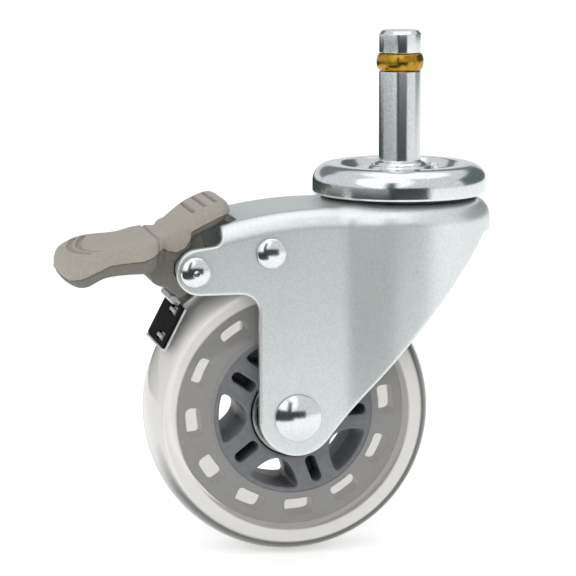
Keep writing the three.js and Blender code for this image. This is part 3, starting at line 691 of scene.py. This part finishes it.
def build_core():
    reach = FLANGE_RADIUS + 0.1
    low = (AXLE[0] - reach, -WHEEL_HALF - 0.1, AXLE[1] - reach)
    high = (AXLE[0] + reach, WHEEL_HALF + 0.1, AXLE[1] + reach)
    core = moulded("wheel_core_moulded", core_field, low, high, 0.34)
    wear(core, "wheel", "grey_nylon", GREY_NYLON, "wheel_core")


def build_tyre():
    """A solid ring cast round the core's flange; its tread is half an ellipse in section."""
    bore = RIM_RADIUS - 0.1
    turns = np.radians(np.linspace(180, 0, 49))
    tread = [(TYRE_SHOULDER + (WHEEL_RADIUS - TYRE_SHOULDER) * math.sin(t), WHEEL_HALF * math.cos(t))
             for t in turns]
    profile = [(bore, -WHEEL_HALF), *tread, (bore, WHEEL_HALF)]
    tyre = turned("tyre_clear", profile, AXLE, 256, 50)
    wear(tyre, "wheel", "clear_urethane", CLEAR_URETHANE, "tyre")


# ---------------------------------------------------------------- brake pedal
PARTING = [
    (-92.8, -24.6), (-90.5, -26), (-87.5, -25.3), (-84, -23.5), (-80, -21.7), (-74, -21.1),
    (-71.5, -20.9), (-69, -20), (-66.2, -18), (-64.6, -19), (-62.3, -19.4), (-60, -18.4),
    (-58.7, -16.2), (-58.2, -14.2), (-54.5, -12.2), (-50.6, -10.3), (-46.8, -9.2),
]
PEDAL_TOP = [
    (-92.7, -22.4), (-91, -20.4), (-88, -19.5), (-85, -18.5), (-80, -17.6), (-74, -17.2),
    (-69, -15.8), (-66.5, -15.2), (-64.4, -15), (-60.6, -11.9), (-57, -9.2), (-54, -7.7),
    (-51, -6.6), (-48.6, -6.6), (-46.9, -8.4),
]
PEDAL_UNDER = [
    (-92.8, -25.0), (-91.2, -26.9), (-88.5, -28), (-86, -27.7), (-84, -26.6), (-81, -25.3),
    (-75, -24.7), (-69, -24.4), (-66, -22.4), (-61, -21.6), (-57.2, -16), (-50.9, -12.9), (-46.8, -9.6),
]
PEDAL_WIDTHS = [
    (-92.7, 5), (-92, 9), (-90, 14), (-87, 17), (-83, 18), (-77, 17.6), (-71, 17.8), (-68, 16.6),
    (-66, 14.4), (-64.8, 13), (-61, 12.6), (-57, 12.8), (-52, 13.2), (-49, 12.4), (-47.4, 10), (-46.9, 6),
]
CAM_HALF = 10.8
CAM_BORE = 4.5
CAM_TRACK = (217, 252)  # the follower's track along the cam, in degrees about the pivot
PEDAL_ROUND = 2.2
PAD_SLOPE = 0.17
DISH = (-76.5, -14.4)  # (x, z) of the middle of the ellipsoid that hollows the long lobe
DISH_HALF = (15, 21, 4.1)
GRIP_GROOVES = (-57.1, -54.2, -51.4)
TIP_CENTRE = -48
TIP_RIDGES = (38.0, 40.3)
SEAM = -66.9
EAR = (-61.4, -16.6)
EAR_RADIUS = 3.1

PEDAL_SIDE = [*flowing(PEDAL_TOP), *reversed(flowing(PEDAL_UNDER))]
PEDAL_PLAN = [
    *[(x, -w) for x, w in flowing(PEDAL_WIDTHS)],
    *[(x, w) for x, w in reversed(flowing(PEDAL_WIDTHS))],
]


def slot_field(across, height, length, half_width, depth, half_length):
    """A round-bottomed groove in a surface at height 0."""
    section = np.hypot(across / half_width, height / depth) - 1
    return np.maximum(section, np.abs(length) - half_length) * half_width


def pedal_form(x, y, z):
    """Whole outside of the pedal's two lobes, before it is parted into pad and body."""
    form = rounded_cut(outline_distance(x, z, PEDAL_SIDE), outline_distance(x, y, PEDAL_PLAN), PEDAL_ROUND)
    along = x - DISH[0]
    down = z - DISH[1] - PAD_SLOPE * along
    dish = np.sqrt((along / DISH_HALF[0]) ** 2 + (y / DISH_HALF[1]) ** 2 + (down / DISH_HALF[2]) ** 2) - 1
    form = softly_cut(form, -dish * 4, 0.7)
    for groove_x in GRIP_GROOVES:
        groove = slot_field(x - groove_x, form, y, 0.45, 1.0, 10.5)
        form = softly_cut(form, -np.maximum(groove, z - 5), 0.12)
    for reach in TIP_RIDGES:
        across = np.hypot(x - TIP_CENTRE, y) - reach
        ridge = np.maximum(slot_field(across, form, y, 0.75, 0.9, 16), x + 80)
        form = softly_cut(form, -np.maximum(ridge, 1.3 - above_line(x, z, PARTING)), 0.2)
    seam = slot_field(x - SEAM + 0.002 * y ** 2, form, y, 0.3, 0.5, 20)
    form = softly_cut(form, -seam, 0.15)
    ear = rounded_cut(np.hypot(x - EAR[0], z - EAR[1]) - EAR_RADIUS, np.abs(y) - 13.1, 0.3)
    return merged(form, ear, 0.2)


def pad_field(x, y, z):
    """Soft pad, with a thin bead of flash where it meets the body."""
    form = pedal_form(x, y, z)
    height = above_line(x, z, PARTING)
    bead = np.maximum(np.abs(height - 0.15) - 0.16, np.abs(form) - 0.16)
    return merged(rounded_cut(form, -height, 0.1), bead, 0.1)


def cam_radius(degrees):
    """Radius of the cam: a slow rise along the track, a nose before it and the hub behind it."""
    track = np.clip(degrees, *CAM_TRACK)
    radius = 8 + 0.008 * (244.6 - track)
    nose = np.minimum(10.6, radius + 0.14 * (CAM_TRACK[0] - degrees))
    back = np.maximum(6.3, radius - 0.12 * (degrees - track))
    return np.where(degrees < CAM_TRACK[0], nose, back)


CAM_OUTLINE = [
    *[polar(PIVOT, cam_radius(degrees), degrees) for degrees in range(187, 401, 4)],
    (-55.4, -14.6), (-58.8, -17), (-60.2, -19.2), (-62.3, -20.2), (-64.7, -19.8), (-66.2, -19.2),
    (-69, -21.4),
]


def body_field(x, y, z):
    """Hard pedal body under the pad, with the cam that turns on the pivot sleeve."""
    shell = rounded_cut(pedal_form(x, y, z) + 0.15, above_line(x, z, PARTING) + 0.06, 0.1)
    cam = rounded_cut(outline_distance(x, z, CAM_OUTLINE), np.abs(y) - CAM_HALF, 0.8)
    body = merged(shell, cam, 0.8)
    return np.maximum(body, CAM_BORE - np.hypot(x - PIVOT[0], z - PIVOT[1]))


def build_pedal():
    step = 0.28
    pad = moulded("pedal_pad_soft", pad_field, (-93, -18.2, -26.5), (-46.7, 18.2, -6.4), step)
    wear(pad, "pedal", "taupe_pad", TAUPE_PAD, "pedal_pad")
    body = moulded("pedal_body_moulded", body_field, (-93, -18, -34), (-46.7, 18, -9), step)
    wear(body, "pedal", "taupe_nylon", TAUPE_NYLON, "pedal_body")


# ---------------------------------------------------------------- brake arm
SHOE_FACING = math.radians(152.8)
SHOE_INNER = 38.45
SHOE_HIGH, SHOE_LOW = -12.6, -0.8
SHOE_HALF = 13
SHOE_MIDDLE = (SHOE_HIGH + SHOE_LOW) / 2
SHOE_HALF_HEIGHT = (SHOE_LOW - SHOE_HIGH) / 2
SPRING_THICK = 0.6
LEAF_HALF = 7.8
BLADE_START = 39.75  # radius about the axle where the blade leaves the eye
EYE_RADIUS = 4.4
EYE_TURN = 285
SLOTS = (-10.4, -2.9)
SLOT_LOW, SLOT_HIGH = -8.6, -0.6
SLOT_MIDDLE = (SLOT_LOW + SLOT_HIGH) / 2
SLOT_HALF = (SLOT_HIGH - SLOT_LOW) / 2


def shoe_place(x, z):
    """Distance out from the axle along the shoe's normal, and place down its face."""
    dx, dz = x - AXLE[0], z - AXLE[1]
    cos, sin = math.cos(SHOE_FACING), math.sin(SHOE_FACING)
    return dx * cos + dz * sin, -dx * sin + dz * cos


def shoe_field(x, y, z):
    """Plate painted near black for the shade and dark reflection on its face, with two long windows."""
    out, along = shoe_place(x, z)
    half_plate = 0.3
    middle = SHOE_INNER + SPRING_THICK + 0.1 + half_plate
    face = rounded_box(along - SHOE_MIDDLE, y, SHOE_HALF_HEIGHT, SHOE_HALF, 0.8)
    body = rounded_cut(face, np.abs(out - middle) - half_plate, 0.15)
    for slot in SLOTS:
        opening = rounded_box(along - slot, y - SLOT_MIDDLE, 1.15, SLOT_HALF, 0.5)
        body = rounded_cut(body, -opening, 0.1)
    return body


def leaf_line():
    """Middle line of the leaf: an eye round the anchor sleeve, then a blade beside the tread."""
    away = math.degrees(math.atan2(ANCHOR[1] - AXLE[1], ANCHOR[0] - AXLE[0]))
    eye = arc(ANCHOR, EYE_RADIUS, away + 180 + EYE_TURN, away + 180, 30)
    middle = SHOE_INNER + SPRING_THICK / 2
    last = math.hypot(middle, SHOE_HIGH)
    last_turn = math.degrees(SHOE_FACING + math.atan2(SHOE_HIGH, middle))
    blade = []
    for part in np.linspace(0, 1, 17)[1:]:
        radius = BLADE_START + (last - BLADE_START) * part ** 2
        blade.append(polar(AXLE, radius, away + (last_turn - away) * part))
    return [*eye, *blade]


LEAF = leaf_line()


def line_distance(u, v, line):
    """Distance in a plane to an open line."""
    nearest = np.full(np.broadcast(u, v).shape, 1e9)
    for (u0, v0), (u1, v1) in zip(line, line[1:]):
        du, dv = u1 - u0, v1 - v0
        t = np.clip(((u - u0) * du + (v - v0) * dv) / max(du * du + dv * dv, 1e-9), 0, 1)
        nearest = np.minimum(nearest, (u - u0 - t * du) ** 2 + (v - v0 - t * dv) ** 2)
    return np.sqrt(nearest)


def spring_field(x, y, z):
    """Leaf spring with a wide end under the shoe, a turned-up lip and two tabs through the shoe."""
    out, along = shoe_place(x, z)
    half_thick = SPRING_THICK / 2
    overhang = 0.7
    leaf = rounded_cut(line_distance(x, z, LEAF) - half_thick, np.abs(y) - LEAF_HALF, 0.15)
    face = rounded_box(along - SHOE_MIDDLE - overhang / 2, y, SHOE_HALF_HEIGHT + overhang / 2, SHOE_HALF, 0.5)
    plate = rounded_cut(face, np.abs(out - SHOE_INNER - half_thick) - half_thick, 0.15)
    lip = rounded_box(along - SHOE_LOW - 0.4, out - SHOE_INNER - 0.7, 0.3, 0.7, 0.15)
    lip = rounded_cut(np.abs(y) - SHOE_HALF, lip, 0.3)
    body = merged(merged(leaf, plate, 0.4), lip, 0.2)
    for slot in SLOTS:
        tab = rounded_box(along - slot, out - SHOE_INNER - 1.1, 0.45, 0.8, 0.2)
        tab = rounded_cut(tab, np.abs(y - SLOT_MIDDLE) - SLOT_HALF + 0.8, 0.3)
        body = np.minimum(body, tab)
    return body


def follower_field(x, y, z):
    """Clip with a rolled top, standing on the upper edge of the shoe."""
    out, along = shoe_place(x, z)
    roll = rounded_cut(np.hypot(out - 41.6, along + 13.1) - 1.1, np.abs(y) - LEAF_HALF, 0.3)
    foot = rounded_box(along - SHOE_HIGH + 0.15, out - 40.6, 0.7, 1.0, 0.2)
    foot = rounded_cut(foot, np.abs(y) - LEAF_HALF + 0.2, 0.3)
    return merged(roll, foot, 0.4)


def build_brake_arm():
    step = 0.17
    shoe = moulded("brake_shoe_plate", shoe_field, (-68, -13.2, -46.5), (-59, 13.2, -33), step)
    wear(shoe, "brake_arm", "black_plastic", SHOE_SHADE_BLACK, "brake_shoe")
    spring = moulded("brake_spring_leaf", spring_field, (-67.5, -13.2, -47), (-33, 13.2, -14.6), step + 0.05)
    wear(spring, "brake_arm", "spring_steel", SPRING_STEEL, "brake_spring")
    clip = moulded("cam_follower_clip", follower_field, (-64, -8, -35), (-59, 8, -31), step)
    wear(clip, "brake_arm", "spring_steel", SPRING_STEEL, "cam_follower")


# ---------------------------------------------------------------- studio
def build_floor():
    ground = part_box("tyre")[0].z
    half = 6.0
    mesh = bpy.data.meshes.new("floor")
    corners = [(-half, -half, ground), (half, -half, ground), (half, half, ground), (-half, half, ground)]
    mesh.from_pydata(corners, [], [(0, 1, 2, 3)])
    floor = bpy.data.objects.new("floor", mesh)
    bpy.context.scene.collection.objects.link(floor)
    material, tree, shader = node_material("floor_paper")
    tree.links.new(blend_colours(tree, noise(tree, 0.01), (0.90, 0.90, 0.90), (0.92, 0.92, 0.92)),
                   shader.inputs["Base Color"])
    shader.inputs["Roughness"].default_value = 0.9
    shader.inputs["Specular IOR Level"].default_value = 0.1
    shader.inputs["Emission Color"].default_value = (1, 1, 1, 1)
    shader.inputs["Emission Strength"].default_value = 0.3
    mesh.materials.append(material)


def build_card(name, azimuth, distance, width, low, high, tint, behind_glass=False):
    """An upright studio card seen only in reflections, or only through the clear tyre."""
    turn = math.radians(azimuth)
    middle = Vector((math.sin(turn), -math.cos(turn), 0)) * distance
    side = Vector((math.cos(turn), math.sin(turn), 0)) * width / 2
    foot, head = Vector((0, 0, low)), Vector((0, 0, high))
    corners = [middle - side + foot, middle + side + foot, middle + side + head, middle - side + head]
    mesh = bpy.data.meshes.new(name)
    mesh.from_pydata(corners, [], [(0, 1, 2, 3)])
    card = bpy.data.objects.new(name, mesh)
    bpy.context.scene.collection.objects.link(card)
    material = bpy.data.materials.new(name)
    material.use_nodes = True
    tree = material.node_tree
    tree.nodes.clear()
    glow = tree.nodes.new("ShaderNodeEmission")
    glow.inputs["Color"].default_value = (*tint, 1)
    out = tree.nodes.new("ShaderNodeOutputMaterial")
    tree.links.new(glow.outputs["Emission"], out.inputs["Surface"])
    mesh.materials.append(material)
    card.visible_camera = False
    card.visible_diffuse = False
    card.visible_shadow = False
    card.visible_glossy = not behind_glass
    card.visible_transmission = behind_glass


LIGHT_AIM = Vector((-0.03, 0, -0.04))
DARK = (0.04, 0.05, 0.052)
CARDS = (
    # name, azimuth, distance, width, foot, top, tint, whether only the clear tyre shows it
    ("card_front", -1, 0.375, 0.382, -0.103, 0.04, DARK),
    ("card_front_tall", -24, 0.5, 0.12, 0.0, 0.42, DARK),
    ("card_low_left", -46, 0.17, 0.2, -0.103, -0.02, DARK),
    ("card_left", -69.5, 0.6, 1.02, -0.103, 0.02, (0.4, 0.43, 0.43)),
    ("card_left_back", -151, 0.6, 1.0, -0.103, 0.0, DARK),
    ("card_high_back", 185, 0.62, 0.9, 0.16, 0.55, (0.2, 0.22, 0.22)),
    ("card_right_back", 115, 0.5, 0.7, 0.0, 0.35, (0.14, 0.17, 0.17)),
    ("card_behind", 180, 0.56, 0.7, -0.1, 0.35, (0.1, 0.11, 0.1), True),
)


def build_light(name, place, energy, size):
    data = bpy.data.lights.new(name, "AREA")
    data.shape = "DISK"
    data.energy = energy
    data.size = size
    lamp = bpy.data.objects.new(name, data)
    lamp.location = place
    aim = LIGHT_AIM - Vector(place)
    lamp.rotation_mode = "QUATERNION"
    lamp.rotation_quaternion = aim.to_track_quat("-Z", "Y")
    bpy.context.scene.collection.objects.link(lamp)


def build_world():
    world = bpy.data.worlds.new("studio")
    world.use_nodes = True
    glow = world.node_tree.nodes["Background"]
    glow.inputs["Color"].default_value = (0.97, 0.985, 1.0, 1)
    glow.inputs["Strength"].default_value = 0.8
    bpy.context.scene.world = world


CAMERA_AZIMUTH = -11.18
CAMERA_ELEVATION = 8.65
CAMERA_DISTANCE = 0.8765
CAMERA_AIM = Vector((-30.27, 0, -31.62 + FOOT)) * MM
CAMERA_LENS = 206.1


def build_camera():
    azimuth, elevation = math.radians(CAMERA_AZIMUTH), math.radians(CAMERA_ELEVATION)
    back = Vector((math.sin(azimuth) * math.cos(elevation), -math.cos(azimuth) * math.cos(elevation),
                   math.sin(elevation)))
    data = bpy.data.cameras.new("camera")
    data.lens = CAMERA_LENS
    data.sensor_width = 36
    data.clip_start, data.clip_end = 0.01, 50
    camera = bpy.data.objects.new("camera", data)
    camera.location = CAMERA_AIM + back * CAMERA_DISTANCE
    camera.rotation_mode = "QUATERNION"
    camera.rotation_quaternion = (-back).to_track_quat("-Z", "Y")
    bpy.context.scene.collection.objects.link(camera)
    bpy.context.scene.camera = camera


build_camera()
build_world()
build_floor()
build_light("key", (-0.7, -0.9, 0.9), 6, 2.0)
build_light("top", (0.1, 0.1, 0.9), 1.4, 1.0)
for card in CARDS:
    build_card(*card)

build_stem()
build_grip_ring()
build_cap()
build_collar()
build_head_rings()
build_fork()
build_axle()
build_nut()
build_rivet("pivot_rivet_domed", PIVOT, "brake_pivot_rivet", True)
build_rivet("anchor_rivet_domed", ANCHOR, "brake_anchor_rivet", False)
build_bearings()
build_sleeves()
build_core()
build_tyre()
build_pedal()
build_brake_arm()
for name in ("upper_ball_ring", "lower_ball_ring", "bearing_ball_cage_near", "bearing_ball_cage_far"):
    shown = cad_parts[name]
    shown.data.materials.clear()
    shown.data.materials.append(BEARING_STEEL)

bpy.context.scene.view_settings.view_transform = "Standard"
